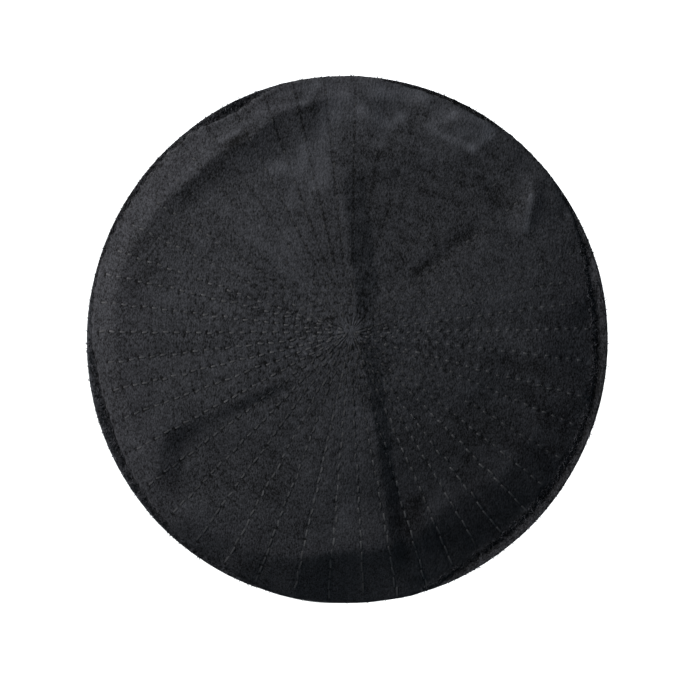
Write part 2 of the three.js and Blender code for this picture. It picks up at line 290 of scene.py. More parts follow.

# The sewn lines: how far the thread stands out of the pile, how puffy the panels beside them are, and the
# part of a stitch's pitch where the thread is on top, near the hub and near the rim. Then how light the
# thread is, its own colour varied round the crown as painted light for how much light the stitches catch;
# the painted shade in its holes and in the line's groove; the painted highlight on the pile that swells
# between two holes; and how much of the thread's lightness is left at the hub.
SEWING = table("azimuth lift puff near far shade hole groove swell sunk", [
    (0, 0.02, 0.6, 0.55, 0.55, 1, 0.5, 0, 0.8, 0.95),
    (18, -0.04, 0.3, 0.6, 0.6, 0.7, 0.3, 0.1, 0.5, 0.8),
    (60, -0.11, 0.3, 0.6, 0.6, 0.75, 0.3, 0.15, 0.1, 0.7),
    (92, -0.1, 0.3, 0.6, 0.6, 0.8, 0.25, 0.4, 0, 0.7),
    (103, -0.06, 0.6, 0.6, 0.6, 0.65, 0.25, 0.5, 0, 0.8),
    (114, -0.06, 0.6, 0.6, 0.6, 0.65, 0.25, 0.4, 0, 0.8),
    (130, -0.1, 0.4, 0.6, 0.6, 0.65, 0.3, 0.25, 0, 0.8),
    (150, -0.08, 0.4, 0.7, 0.7, 0.8, 0.4, 0.15, 0.1, 0.95),
    (165, 0.03, 0.7, 0.66, 0.68, 1, 0.8, 0, 0.2, 1),
    (193, 0.04, 0.9, 0.68, 0.7, 1, 0.95, 0, 0.2, 1),
    (210, 0.03, 1.1, 0.66, 0.72, 1, 0.95, 0, 0.2, 0.8),
    (245, 0.03, 1.2, 0.66, 0.95, 1.1, 0.4, 0, 0.1, 0.55),
    (280, 0.03, 1.6, 0.7, 1.2, 1.15, 0.3, 0, 0.1, 0.4),
    (315, 0.04, 1.6, 0.7, 1.15, 1.1, 0.3, 0, 0.3, 0.45),
    (330, 0, 1.4, 0.62, 0.85, 0.75, 0.35, 0.15, 0.6, 0.65),
    (345, 0.04, 1.2, 0.55, 0.6, 1, 0.5, 0, 0.9, 0.9),
])
SEWING_SHARES = (0.6, 0.85)  # shares of the way to the rim between which the stitches change

# Soft folds in the crown, ridges where height is above 0 and valleys where it is below. Each runs from
# (x0, y0) to (x1, y1), with half widths to the left and the right of that way.
FOLDS = table("name x0 y0 x1 y1 height left right", [
    ("right_dent", 22.9, 21.6, 45.5, 38.1, -0.5, 3.2, 3.2),
    ("right_pit", 48, 51, 54, 46, -0.9, 4, 4),
    ("right_pinch", 59, 37.4, 63.7, 52.9, 0.9, 3.2, 3.2),
    ("right_crease", 34.7, -3.7, 66.7, -9.1, -0.3, 3.2, 3.2),
    ("back_pucker", 10.4, 81.2, 8.4, 87, 0.8, 3.5, 3.5),
    ("back_pinch", 5, 76.5, 10, 72.5, 0.8, 3.2, 3.2),
    ("back_swell", 28.6, 73.1, 47.5, 71.8, 0.9, 4.5, 4.5),
    ("front_break", -15.8, -71.1, 13.8, -69.8, 0.7, 8, 4),
    ("front_sag", 30, -72, 74, -20, -2.2, 36, 80),
])

# Sharp pleats and creases, from (x0, y0) to (x1, y1). On the left of that way the cloth rises gently to
# the line. On the right it drops steadily over the ramp's width, and comes back to level further on.
PLEATS = table("name x0 y0 x1 y1 drop left ramp far", [
    ("crease_front", 16, -76, 8.1, -20.6, 1.4, 16, 4.6, 40),
    ("crease_middle", 7.6, -20.6, 2.9, 13.1, 0.9, 16, 5.5, 40),
    ("crease_back", 3.4, 13.1, -1.5, 54, 1.7, 16, 7.7, 45),
    ("pleat", -44.8, -23.7, -20.2, -13, 0.8, 14, 3.3, 30),
    ("pleat_outer", -61.2, -30.8, -44.8, -23.7, 1.2, 14, 5.4, 30),
    ("pleat_end", -64.2, -50, -61.2, -30.8, 1.35, 10, 7.4, 24),
])
PLEAT_RISE = 0.4  # how much the cloth rises to the line of a pleat or a crease
PLEAT_WANDER = 0.5  # how far a pleat strays from its line, and the length of a stray
WANDER_LENGTH = 19
WANDER_RATIO = 2.3  # a second stray is shorter by this, and shifted
WANDER_SHIFT = 1

# Strokes on the crown's pile, with half width and how much lighter, or darker below 0, it looks. Some are
# where the pile was brushed; many are painted shade and painted highlight along the rim, crests, ridges,
# creases and pleats, standing in for how the light falls on the crown's form.
BRUSHED_AND_PAINTED_LIGHT_STROKES = table("name x0 y0 x1 y1 width tone", [
    ("rim_shade_back", -20, 86.5, -44, 74.5, 2.4, -0.2),
    ("rim_shade_middle", -54.5, 69.6, -67.4, 56.8, 2.2, -0.6),
    ("rim_shade_left", -67.4, 56.8, -79.4, 37.4, 2.2, -0.55),
    ("hub_light", 0.5, 4, 1.3, 2.2, 3, 0.6),
    ("front_panel_light", -1, -20, 5, -38, 5, 0.25),
    ("crest_back", -24, 78, -47, 62, 1.8, 0.2),
    ("crest_left", -47, 62, -66, 45, 1.8, 0.15),
    ("back_lip", -22.6, 81.9, -11, 85.6, 1.6, 0.45),
    ("back_lip_end", -10, 85, -14.5, 78.5, 1.4, 0.9),
    ("back_streak", -6.5, 83, -11, 52, 2.6, 0.65),
    ("back_streak_left", -14, 66, -19, 46, 2.4, 0.55),
    ("back_patch", -6, 72, 4, 74, 4, 0.4),
    ("back_fork", 5, 77.5, 12, 73, 2.5, 0.8),
    ("back_fork_end", 14.5, 72.5, 19.5, 75.5, 1.4, 1.1),
    ("loop_left", 27.3, 72, 36, 75.8, 1.5, 0.8),
    ("loop_top", 36, 75.8, 44.8, 74.5, 1.5, 0.5),
    ("loop_right", 44.8, 74.5, 48.5, 69.4, 1.5, 1.2),
    ("loop_front", 48.5, 69.4, 42, 64.4, 1.5, 1.4),
    ("loop_back", 29, 70, 42, 64.4, 1.6, 1),
    ("rim_patch", 9, 83, 26, 82, 2.4, 0.8),
    ("rim_valley", 17, 79, 26, 77.5, 1.6, -0.2),
    ("front_right_shade", 30, -45, 60, -25, 25, -0.1),
    ("front_right_light", 28, -52, 35, -58, 5, 0.35),
    ("right_front_light", 45, -38, 55, -42, 4, 0.25),
    ("right_light_low", 50, -20, 61, -33, 5, 0.2),
    ("right_dark", 62, -19, 66, -25, 3.5, -0.3),
    ("right_front_dark", 59, -35, 66, -40, 4, -0.3),
    ("front_dark_left", 30, -63, 39, -73, 5, -0.15),
    ("front_dark_right", 37, -60, 50, -62, 5, -0.25),
    ("right_streak", 61.6, 48.5, 59.8, 36.5, 0.9, 1.3),
    ("right_light", 48, 14, 70, 35, 12, 0.1),
    ("back_shade", 13, 60, 17, 14, 10, -0.13),
    ("right_blotch", 50.5, 47.5, 52, 46, 2.8, -0.4),
    ("right_dash_near", 23.3, 23.3, 30, 28, 1.4, -0.4),
    ("right_dash_far", 34.7, 32.4, 42.8, 36.4, 1.4, -0.4),
    ("back_lip_shade", -10, 82.5, -11.3, 77, 1.8, -0.6),
    ("back_line_left", 17.8, 84, 17, 80, 0.7, -0.4),
    ("back_line_right", 29.5, 81, 26, 73.5, 0.8, -0.4),
    ("left_ridge_shade", -39, 65, -31, 75, 4, -0.35),
    ("left_rim_shade", -74, 31, -57, 37, 6, -0.22),
    ("left_back_light", -32, 40, -21, 29, 7, 0.3),
    ("back_middle_shade", 6, 64, 0, 55, 4, -0.2),
    ("front_left_shade", -40, -45, -25, -43, 8, -0.27),
    ("front_left_line", -27.5, -64.8, -9, -62.3, 3, -0.25),
    ("right_dent_shade", 23, 20, 46, 35, 3.5, -0.22),
    ("right_middle_light", 18, 7, 57, 17, 5, 0.28),
    ("right_spot_light", 38, -16, 41, -16.5, 3.5, 0.4),
    ("front_right_spot", 19.5, -62, 23, -55, 4, -0.7),
    ("right_front_shade", 28, -33, 52, -26, 8, -0.28),
    ("right_front_shade_low", 44, -37, 40, -51, 5, -0.25),
    ("right_rim_shade", 74, -18, 70, -35, 4, -0.25),
    ("back_right_shade", 33.5, 41.5, 26, 50, 3.5, -0.28),
    ("right_pit_shade", 53, 51, 56, 48, 3.5, -0.28),
    ("back_spot_light", -3.7, 76.3, -1, 81, 2.6, 1.1),
    ("loop_middle_light", 38, 69.3, 45, 69.6, 2, 0.8),
    ("left_back_spot", -25, 57.5, -19.5, 58.5, 2.6, 0.85),
    ("back_streak_middle", -14.1, 64, -14.1, 59, 2, 0.75),
    ("back_streak_low", -7, 60, -6.4, 53, 2, 0.6),
    ("back_right_light", 11.1, 77, 11.4, 66, 1.8, 0.7),
    ("left_ridge_dark", -39, 65.3, -36.6, 66.5, 2, -0.6),
    ("ridge_shade", -42.5, 58.5, -54, 47, 2.2, -0.35),
    ("ridge_light", -36, 58.5, -30, 59.5, 2.6, 0.3),
    ("hub_left_shade", -9, 4.7, -5.7, 6.4, 2.4, -0.45),
    ("hub_right_shade", 3, 7.4, 6.4, 9.1, 1.6, -0.35),
    ("front_crease_light", 4, -24, 8.4, -26.5, 2.6, 0.5),
    ("front_left_dark", -29, -51.4, -25, -51.4, 3, -0.4),
    ("front_right_dark", 27, -51.4, 28, -51, 2, -0.5),
    ("right_crease_dark", 55, -8.3, 66, -9.8, 2.4, -0.4),
    ("right_low_dark", 54.8, -28.9, 58.1, -33.9, 3, -0.33),
    ("left_edge_shade", -78, -12, -74.3, -21, 3, -0.28),
    ("left_wedge_dark", -58.5, -47, -56.5, -49, 2.4, -0.32),
    ("pleat_edge_outer", -60, -32.2, -44.3, -24.9, 1.2, -0.2),
    ("pleat_edge", -44.3, -24.9, -20, -14.2, 1.1, -0.12),
    ("right_crease_shade", 41.7, -5.7, 53, -6.4, 1.6, -0.15),
    ("left_wide_shade", -68, 27, -71, 7, 4.5, -0.15),
    ("left_shoulder_shade", -80, 22, -79, -24, 4, -0.1),
    ("ridge_crest_left", -42.7, 66.9, -36.3, 69.8, 1.1, 0.5),
    ("ridge_crest_rise", -36.3, 69.8, -29.5, 76.2, 1.1, 0.45),
    ("ridge_crest_back", -29.5, 76.2, -14.5, 79.6, 1.1, 0.4),
    ("ridge_pit_left", -38, 66.4, -33.5, 70.8, 1.4, -0.35),
    ("ridge_pit_back", -16.5, 76.6, -12.5, 78.6, 1.5, -0.4),
    ("left_light", -55, 25, -54, 9, 3.5, 0.25),
    ("left_back_ray_light", -21, 33, -11, 12, 3, 0.22),
    ("hub_left_light", -22, -5, -16, -2, 3, 0.25),
    ("front_left_light", -49, -58, -45, -68, 4, 0.28),
    ("front_middle_light", 2, -52, -2, -68, 3, 0.25),
    ("front_right_wide_shade", 38, -56, 66, -40, 14, -0.06),
    ("back_right_dark", 34, 51, 41, 52.5, 2.8, -0.28),
    ("rim_patch_left", 11.5, 84, 17, 76, 2, 0.5),
])

# Places where the pile is crushed into small spots, flecked, or brushed so flat that its grain is calm
SPOTS = table("x y reach crush fleck calm", [
    (25, 45, 26, 0.45, 0, 0),
    (10, 72, 18, 0.4, 0, 0),
    (52, 48, 18, 0.4, 0, 0),
    (45, -30, 30, 0.4, -0.2, 0),
    (1, 4, 22, 0.1, 0.9, 0),
    (-32, 6, 28, 0.1, 0.65, 0),
    (40, -64, 36, 0, 0, 0.4),
])

# The band's roll beside the seam, as the four points of a smooth curve from the seam to the top of the
# side: out as shares of the seam's inset, up as shares of the crest's height, and how far below the seam
ROLL = table("out rise below", [
    (0, 0, 0),
    (0.45, 0, 0.2),
    (0.75, 1, 0.2),
    (1, 1, 0.5),
])

# Shallow dents in the side of the band, and one swelling where depth is below 0
SIDE_DENTS = table("azimuth z depth spread tall", [
    (35, 52, 1.6, 26, 24),
    (118, 58, 2.2, 20, 22),
    (205, 50, 1.8, 24, 26),
    (262, 44, -1.4, 22, 24),
    (318, 60, 1.5, 18, 20),
])


# Curves and tables
def bell(distance, width):
    return np.exp(-((distance / width) ** 2))


def smoothstep(value, low, high):
    t = np.clip((value - low) / (high - low), 0, 1)
    return t * t * (3 - 2 * t)


def mix(start, end, share):
    return start + (end - start) * share


def unit(ways):
    return ways / np.linalg.norm(ways, axis=-1, keepdims=True)


def toward(azimuth):
    """How far the way to an azimuth goes along X and along Y."""
    turn = np.radians(azimuth)
    return np.cos(turn), np.sin(turn)


def from_hub(x, y):
    """How far points lie from the hub, and at which azimuth."""
    return np.hypot(x - HUB_X, y - HUB_Y), np.degrees(np.arctan2(y - HUB_Y, x - HUB_X))


def turned_from(azimuth, start):
    """Degrees from one azimuth to another, by the shorter way."""
    return (azimuth - start + 180) % 360 - 180


def around(rows, column, azimuth):
    """The value of a table's column at azimuths, eased from row to row and round again."""
    first = rows[0]["azimuth"]
    starts = np.array([(row["azimuth"] - first) % 360 for row in rows] + [360.0])
    values = np.array([row[column] for row in rows] + [rows[0][column]], float)
    at = (np.asarray(azimuth, float) - first) % 360
    passed = np.clip(np.searchsorted(starts, at, side="right") - 1, 0, len(rows) - 1)
    eased = smoothstep(at, starts[passed], starts[passed + 1])
    return mix(values[passed], values[passed + 1], eased)


def named(rows, name):
    """The row of a table that has a name."""
    return next(row for row in rows if row["name"] == name)


def line_azimuth(number):
    even = 360 * np.asarray(number, float) / QUILT_LINES
    return even + around(LINE_DRIFT, "drift", even)


# What is uneven
class Unevenness:
    """Soft lumps all over, and what strays round the crown, as sums of waves."""

    def __init__(self, random):
        lengths = random.uniform(*LUMP_LENGTHS, LUMP_COUNT)
        ways = random.uniform(0, 2 * np.pi, LUMP_COUNT)
        self.kx = 2 * np.pi / lengths * np.cos(ways)
        self.ky = 2 * np.pi / lengths * np.sin(ways)
        self.phases = random.uniform(0, 2 * np.pi, LUMP_COUNT)
        self.heights = LUMP_HEIGHT * lengths / LUMP_LENGTHS[0]
        self.waves = {}
        for row in WAVES:
            counts = random.integers(row["fewest"], row["most"], WAVE_COUNT)
            self.waves[row["name"]] = (row["size"], counts, random.uniform(0, 2 * np.pi, WAVE_COUNT))

    def lumps(self, x, y):
        waves = zip(self.kx, self.ky, self.phases, self.heights)
        return sum(height * np.sin(kx * x + ky * y + phase) for kx, ky, phase, height in waves)

    def run(self, name, azimuth, shift=0):
        """The sum of some waves at azimuths. A shift sets the waves off from each other."""
        size, counts, starts = self.waves[name]
        turns = np.radians(azimuth)
        steps = shift * np.arange(WAVE_COUNT)
        total = sum(np.sin(c * turns + s + t) for c, s, t in zip(counts, starts, steps))
        return size * (total * 2 / WAVE_COUNT)


UNEVENNESS = Unevenness(np.random.default_rng(SEED + 3))


# The crown's main form
def seam_inset(azimuth):
    return around(SEAM_INSET, "inset", azimuth) + UNEVENNESS.run("seam_stray", azimuth)


def seam_reach(azimuth):
    """From the hub to the crown's seam."""
    inset = seam_inset(azimuth)
    a = OUTLINE_HALF_X - inset
    b = OUTLINE_HALF_Y - inset
    dx, dy = toward(azimuth)
    square = (dx / a) ** 2 + (dy / b) ** 2
    linear = HUB_X * dx / a**2 + HUB_Y * dy / b**2
    rest = (HUB_X / a) ** 2 + (HUB_Y / b) ** 2 - 1
    return (-linear + np.sqrt(linear**2 - square * rest)) / square


def from_start(line, x, y):
    """How far a line goes along X and Y, and how far points lie from its start."""
    return line["x1"] - line["x0"], line["y1"] - line["y0"], x - line["x0"], y - line["y0"]


def beside_line(line, x, y):
    """How far points lie along a line and to its left, and a share that dies away past its ends."""
    dx, dy, from_x, from_y = from_start(line, x, y)
    length = math.hypot(dx, dy)
    along = from_x * (dx / length) + from_y * (dy / length)
    across = from_y * (dx / length) - from_x * (dy / length)
    begun = smoothstep(along, -FOLD_FADE, FOLD_FADE)
    return along, across, begun * smoothstep(along, length + FOLD_FADE, length - FOLD_FADE)


def fold_height(fold, x, y):
    _, across, present = beside_line(fold, x, y)
    width = np.where(across > 0, fold["left"], fold["right"])
    return fold["height"] * bell(across, width) * present


def pleat_height(pleat, x, y):
    along, across, present = beside_line(pleat, x, y)
    turn = 2 * np.pi * along / WANDER_LENGTH
    across = across + PLEAT_WANDER * (np.sin(turn) + np.sin(WANDER_RATIO * turn + WANDER_SHIFT)) / 2
    right = np.maximum(-across, 0)
    dropped = PLEAT_RISE - pleat["drop"] * np.minimum(right / pleat["ramp"], 1)
    level = bell(np.maximum(right - pleat["ramp"], 0), pleat["far"])
    return np.where(across > 0, PLEAT_RISE * bell(across, pleat["left"]), dropped * level) * present


def edge_turn(edge):
    """How far the edge has turned down at a distance from the seam, as a share of the whole turn."""
    turned = EDGE_TURN * np.clip(1 - edge / EDGE_WIDTH, 0, 1)
    return (1 - np.sqrt(1 - turned**2)) / (1 - math.sqrt(1 - EDGE_TURN**2))


def slope_share(edge, width):
    """How far the shoulder has sloped down, as a share of its whole drop."""
    into = 1 - edge / width
    return (into + np.sqrt(into**2 + SLOPE_ROUND**2)) / (1 + math.sqrt(1 + SLOPE_ROUND**2))


def crown_form(share, azimuth, depth):
    """x, y and z at shares of the way from the hub to the seam, at a depth below the outer face."""
    reach = seam_reach(azimuth) - depth
    edge = (1 - share) * reach
    dx, dy = toward(azimuth)
    x = HUB_X + share * reach * dx
    y = HUB_Y + share * reach * dy
    width = around(SHOULDER, "width", azimuth)
    inward = np.clip((edge - width) / around(SHOULDER, "step", azimuth), 0, 1)
    folds = sum(fold_height(fold, x, y) for fold in FOLDS)
    folds = folds + sum(pleat_height(pleat, x, y) for pleat in PLEATS)
    dome = DOME_RISE * ((x / OUTLINE_HALF_X) ** 2 + (y / OUTLINE_HALF_Y) ** 2)
    sloped = around(SHOULDER, "drop", azimuth) * slope_share(edge, width)
    lip = around(SHOULDER, "lip", azimuth) * (1 - inward) ** STEP_POWER
    turned = (around(SEAM_INSET, "turn", azimuth) - depth) * edge_turn(edge)
    z = HEIGHT - depth - dome - sloped + lip + folds - turned
    return x, y, z


def to_stroke(stroke, x, y):
    """Distance from points to a straight stroke."""
    dx, dy, from_x, from_y = from_start(stroke, x, y)
    along = np.clip((from_x * dx + from_y * dy) / (dx**2 + dy**2), 0, 1)
    return np.hypot(from_x - along * dx, from_y - along * dy)


def brushed_and_painted_tone(x, y):
    """How much lighter the crown's pile looks: painted highlight and painted shade on its shoulder and
    along the strokes, some strokes being brushed pile.
    """
    radius, azimuth = from_hub(x, y)
    edge = seam_reach(azimuth) - radius
    width = around(SHOULDER, "width", azimuth)
    inner, outer = SHOULDER_TONE
    tone = around(SHOULDER, "tone", azimuth) * smoothstep(edge, inner * width, outer * width)
    for stroke in BRUSHED_AND_PAINTED_LIGHT_STROKES:
        tone = tone + stroke["tone"] * bell(to_stroke(stroke, x, y), stroke["width"])
    return tone


def spotted(column, x, y):
    return sum(row[column] * bell(np.hypot(x - row["x"], y - row["y"]), row["reach"]) for row in SPOTS)


# The crown's fine surface
def thread_share(share, azimuth):
    """The part of a stitch's pitch where the thread is on top."""
    outward = smoothstep(share, *SEWING_SHARES)
    return mix(around(SEWING, "near", azimuth), around(SEWING, "far", azimuth), outward)


class Quilting:
    """The sewn lines, with what differs from line to line and from panel to panel."""

    def __init__(self, random):
        self.azimuths = line_azimuth(np.arange(QUILT_LINES + 1))
        self.puff = random.uniform(*PUFF_SHARES, QUILT_LINES)
        self.lean = random.uniform(*PANEL_LEANS, QUILT_LINES)
        self.tone = random.uniform(-PANEL_TONE, PANEL_TONE, QUILT_LINES)
        self.starts = np.array([LINE_STARTS[i % len(LINE_STARTS)] for i in range(QUILT_LINES)], float)
        self.starts += random.uniform(0, STITCH_PITCH, QUILT_LINES)
        self.pitches = STITCH_PITCH * random.uniform(*PITCH_SHARES, QUILT_LINES)

    def panel(self, azimuth):
        """The panel that an azimuth lies in, its width in degrees, and the share of the way across it."""
        at = (azimuth - self.azimuths[0]) % 360 + self.azimuths[0]
        panel = np.clip(np.searchsorted(self.azimuths, at, side="right") - 1, 0, QUILT_LINES - 1)
        wide = self.azimuths[panel + 1] - self.azimuths[panel]
        return panel, wide, (at - self.azimuths[panel]) / wide

    def nearest(self, radius, azimuth):
        """How far points lie aside of the nearest line, and stitches along it, midway at its holes."""
        panel, wide, across = self.panel(azimuth)
        line = np.where(across < 0.5, panel, panel + 1) % QUILT_LINES
        aside = np.minimum(across, 1 - across) * radius * np.radians(wide)
        hole = thread_share(radius / seam_reach(azimuth), azimuth)
        return aside, (radius - self.starts[line]) / self.pitches[line] - hole + 0.5

    def relief(self, share, azimuth):
        """How far the fine surface lies above the crown's main form."""
        reach = seam_reach(azimuth)
        radius = share * reach
        panel, wide, across = self.panel(azimuth)
        width = radius * np.radians(wide)
        leaned = across ** (2 ** self.lean[panel])
        pillow = (4 * leaned * (1 - leaned)) ** PILLOW
        puff = self.puff[panel] * around(SEWING, "puff", azimuth)
        height = QUILT_DEPTH * puff * width / (width + PANEL_HALF)
        return height * (pillow - 1) * smoothstep(reach - radius, 0, FINE_FADE)


QUILTING = Quilting(np.random.default_rng(SEED))


def crown_top(share, azimuth):
    """Points of the crown's outer face, with its quilting, lumps and puckers."""
    x, y, z = crown_form(share, azimuth, 0)
    edge = (1 - share) * seam_reach(azimuth)
    soft = UNEVENNESS.lumps(x, y) + UNEVENNESS.run("puckers", azimuth) * bell(edge, PUCKER_REACH)
    z = z + QUILTING.relief(share, azimuth) + soft * smoothstep(edge, 0, FINE_FADE)
    return np.stack([x, y, z], axis=-1)


def crown_under(share, azimuth):
    """Points of the crown's inner face."""
    return np.stack(crown_form(share, azimuth, CROWN_WALL), axis=-1)


def crown_normal(share, azimuth):
    """Which way the crown's outer face looks, from points close by on all sides."""
    step = 0.004
    turn = 0.4
    outward = crown_top(np.minimum(share + step, 1), azimuth) - crown_top(share - step, azimuth)
    sideways = crown_top(share, azimuth + turn) - crown_top(share, azimuth - turn)
    return unit(np.cross(outward, sideways))


# Meshes
def place(name, data):
    item = bpy.data.objects.new(name, data)
    bpy.context.scene.collection.objects.link(item)
    return item


def add_object(name, points, faces, materials, face_materials=None):
    mesh = bpy.data.meshes.new(name)
    mesh.from_pydata((np.asarray(points) * MM).tolist(), [], faces)
    for material in materials:
        mesh.materials.append(material)
    if face_materials is not None:
        mesh.polygons.foreach_set("material_index", np.asarray(face_materials, np.int32))
    mesh.shade_smooth()
    mesh.set_sharp_from_angle(angle=math.radians(SHARP_DEG))
    mesh.validate()
    return place(name, mesh)


def add_attributes(piece, columns):
    """Values at a piece's points, which its material reads by name."""
    for name, values in columns.items():
        attribute = piece.data.attributes.new(name, "FLOAT", "POINT")
        attribute.data.foreach_set("value", np.asarray(values, np.float32))


def ring_faces(rows, columns, is_loop):
    """Quads between rows of points round the axis, with the row that each starts from."""
    faces = []
    starts = []
    for row in range(rows if is_loop else rows - 1):
        here = row * columns
        there = ((row + 1) % rows) * columns
        for column in range(columns):
            beside = (column + 1) % columns
            faces.append((here + column, there + column, there + beside, here + beside))
            starts.append(row)
    return faces, starts


def closed_faces(rows, columns):
    """The faces of rows of points with a tip at each end. The tips are the last two points."""
    faces, starts = ring_faces(rows, columns, False)
    first_tip = rows * columns
    last_row = first_tip - columns
    for column in range(columns):
        beside = (column + 1) % columns
        faces.append((first_tip, column, beside))
        faces.append((first_tip + 1, last_row + beside, last_row + column))
        starts += [0, rows - 1]
    return faces, starts


def ring_shares(count):
    """Shares of the way from the hub to the seam, closer together near the seam."""
    return 1 - (1 - np.arange(1, count + 1) / count) ** RING_BIAS


def make_crown(velvet, backing):
    widths = np.diff(QUILTING.azimuths)
    azimuth = (QUILTING.azimuths[:-1, None] + widths[:, None] * np.array(PANEL_COLUMNS)).ravel()
    columns = len(azimuth)
    top = [crown_top(np.full(columns, share), azimuth) for share in ring_shares(CROWN_RINGS)]
    under_shares = ring_shares(UNDERSIDE_RINGS)[::-1]
    under = [crown_under(np.full(columns, share), azimuth) for share in under_shares]
    faces, starts = closed_faces(len(top) + len(under), columns)
    inside = [int(row >= len(top)) for row in starts]
    zero = np.zeros(1)
    points = np.concatenate([*top, *under, crown_top(zero, zero), crown_under(zero, zero)])
    crown = add_object("crown_velvet", points, faces, [velvet, backing], inside)
    mark_crown(crown, points)
    return crown


def mark_crown(crown, points):
    """What differs from place to place in the crown's pile, with its painted shade and painted highlight.
    """
    x = points[:, 0]
    y = points[:, 1]
    radius, azimuth = from_hub(x, y)
    panel, _, _ = QUILTING.panel(azimuth)
    rays = UNEVENNESS.run("rays", azimuth) * bell(radius - HUB_REACH, HUB_REACH)
    aside, step = QUILTING.nearest(radius, azimuth)
    grown = smoothstep(radius, *HOLE_GROWTH)
    marks = {column: around(SEWING, column, azimuth) * grown for column in ("hole", "groove", "swell")}
    marks |= {column: spotted(column, x, y) for column in ("crush", "fleck", "calm")}
    marks["fleck"] += CROWN_FLECKS
    # painted highlight and painted shade of the shoulder and strokes, with each panel's random tone and
    # the hub's rays
    marks["nap_and_painted_light"] = brushed_and_painted_tone(x, y) + QUILTING.tone[panel] + rays
    marks["aside"] = aside
    marks["step"] = step
    add_attributes(crown, marks)


def make_threads(name, paths, normals, shades, thread):
    """Short tubes with pointed ends, joined in one mesh. A path has a point for each step of a stitch."""
    sides = unit(np.cross(unit(np.gradient(paths, axis=1)), normals))
    turns = 2 * np.pi * np.arange(THREAD_SIDES) / THREAD_SIDES
    girth = np.array(STITCH_GIRTH)[None, 1:-1, None, None]
    upward = THREAD_HALF_HEIGHT * np.cos(turns)[:, None] * normals[:, 1:-1, None]
    sideways = THREAD_HALF_WIDTH * np.sin(turns)[:, None] * sides[:, 1:-1, None]
    rings = paths[:, 1:-1, None] + girth * (upward + sideways)
    count, steps = rings.shape[:2]
    body = rings.reshape(count, steps * THREAD_SIDES, 3)
    points = np.concatenate([body, paths[:, :1], paths[:, -1:]], axis=1)
    pattern, _ = closed_faces(steps, THREAD_SIDES)
    size = points.shape[1]
    faces = [tuple(i + stitch * size for i in face) for stitch in range(count) for face in pattern]
    threads = add_object(name, points.reshape(-1, 3), faces, [thread])
    add_attributes(threads, {"shade": np.repeat(shades, size)})
    return threads


def make_crown_stitches(thread):
    random = np.random.default_rng(SEED + 1)
    shares = []
    azimuths = []
    steps = np.array(STITCH_STEPS)
    for line in range(QUILT_LINES):
        azimuth = QUILTING.azimuths[line]
        reach = float(seam_reach(azimuth))
        pitch = QUILTING.pitches[line]
        count = int((LINE_END * reach - QUILTING.starts[line]) / pitch)
        begin = QUILTING.starts[line] + pitch * np.arange(count)
        top = thread_share(begin / reach, np.full(count, azimuth))
        top = top + random.normal(0, STITCH_UNEVEN, count)
        radius = begin[:, None] + pitch * top[:, None] * steps
        swerve = random.normal(0, LINE_MISS) + random.normal(0, STITCH_ASIDE, (count, 1))
        swerve = swerve + random.normal(0, STITCH_SLANT, (count, 1)) * (steps - 0.5)
        shares.append(np.minimum(radius / reach, LINE_END))
        azimuths.append(azimuth + np.degrees(swerve / radius))
    share = np.concatenate(shares)
    azimuth = np.concatenate(azimuths)
    normals = crown_normal(share, azimuth)
    sunk = random.normal(0, SINK_UNEVEN, (len(share), 1))
    lift = np.array(STITCH_LIFT) + around(SEWING, "lift", azimuth) + sunk
    paths = crown_top(share, azimuth) + normals * lift[..., None]
    sunk_shade = around(SEWING, "sunk", azimuth[:, 0])
    shown = mix(sunk_shade, 1, smoothstep(share[:, 0], *HUB_SHARES))
    # each stitch's lightness, painted by azimuth for how much light the stitches catch
    shades = around(SEWING, "shade", azimuth[:, 0]) * shown * random.normal(1, SHADE_UNEVEN, len(share))
    return make_threads("crown_stitches", paths, normals, shades, thread)


# The band
def roll_curve(column):
    """A column of the roll's table along a smooth curve from its first row to its last."""
    a, b, c, d = (row[column] for row in ROLL)
    t = np.linspace(0, 1, ROLL_STEPS)
    return a * (1 - t) ** 3 + 3 * b * t * (1 - t) ** 2 + 3 * c * t**2 * (1 - t) + d * t**3


class Band:
    """The side band's sizes at azimuths about the hub."""

    def __init__(self, azimuth):
        x, y, self.seam_z = crown_form(np.ones_like(azimuth), azimuth, 0)
        self.inset = seam_inset(azimuth)
        self.crest = self.inset * around(SEAM_INSET, "crest", azimuth)
        self.bearing = np.degrees(np.arctan2(y, x))
        self.seam_radius = np.hypot(x, y)
        self.side_top = self.seam_z - ROLL[-1]["below"] + ROLL[-1]["rise"] * self.crest
        self.inside_top = np.minimum(self.side_top, self.seam_z) - BAND_WALL

    def points(self, radius, z):
        dx, dy = toward(self.bearing)
        return np.stack([radius * dx, radius * dy, np.broadcast_to(z, dx.shape)], axis=-1)

    def side_radius(self, z):
        share = z / self.side_top
        dent = 0
        for row in SIDE_DENTS:
            aside = turned_from(self.bearing, row["azimuth"])
            dent = dent + row["depth"] * bell(aside, row["spread"]) * bell(z - row["z"], row["tall"])
        tapered = mix(RIM_RADIUS, self.seam_radius + self.inset, share)
        return tapered - dent * np.sin(np.pi * share)

    def outer_radius(self, z):
        """The outside of the side, with its join and a soft unevenness."""
        aside = turned_from(self.bearing, JOIN_AZIMUTH)
        join = JOIN_DEPTH * bell(np.radians(aside) * RIM_RADIUS, JOIN_WIDTH)
        around_rim = np.radians(self.bearing) * RIM_RADIUS
        soft = UNEVENNESS.lumps(around_rim, z) * np.sin(np.pi * z / self.side_top)
        return self.side_radius(z) - join + soft


def strip_painted_light(azimuth, out):
    """How much lighter the band's pile is painted, as painted shade and painted highlight, at a share of
    the way out from the seam to the outline.
    """
    return mix(around(SEAM_INSET, "tone", azimuth), around(SEAM_INSET, "lit", azimuth), out**2)


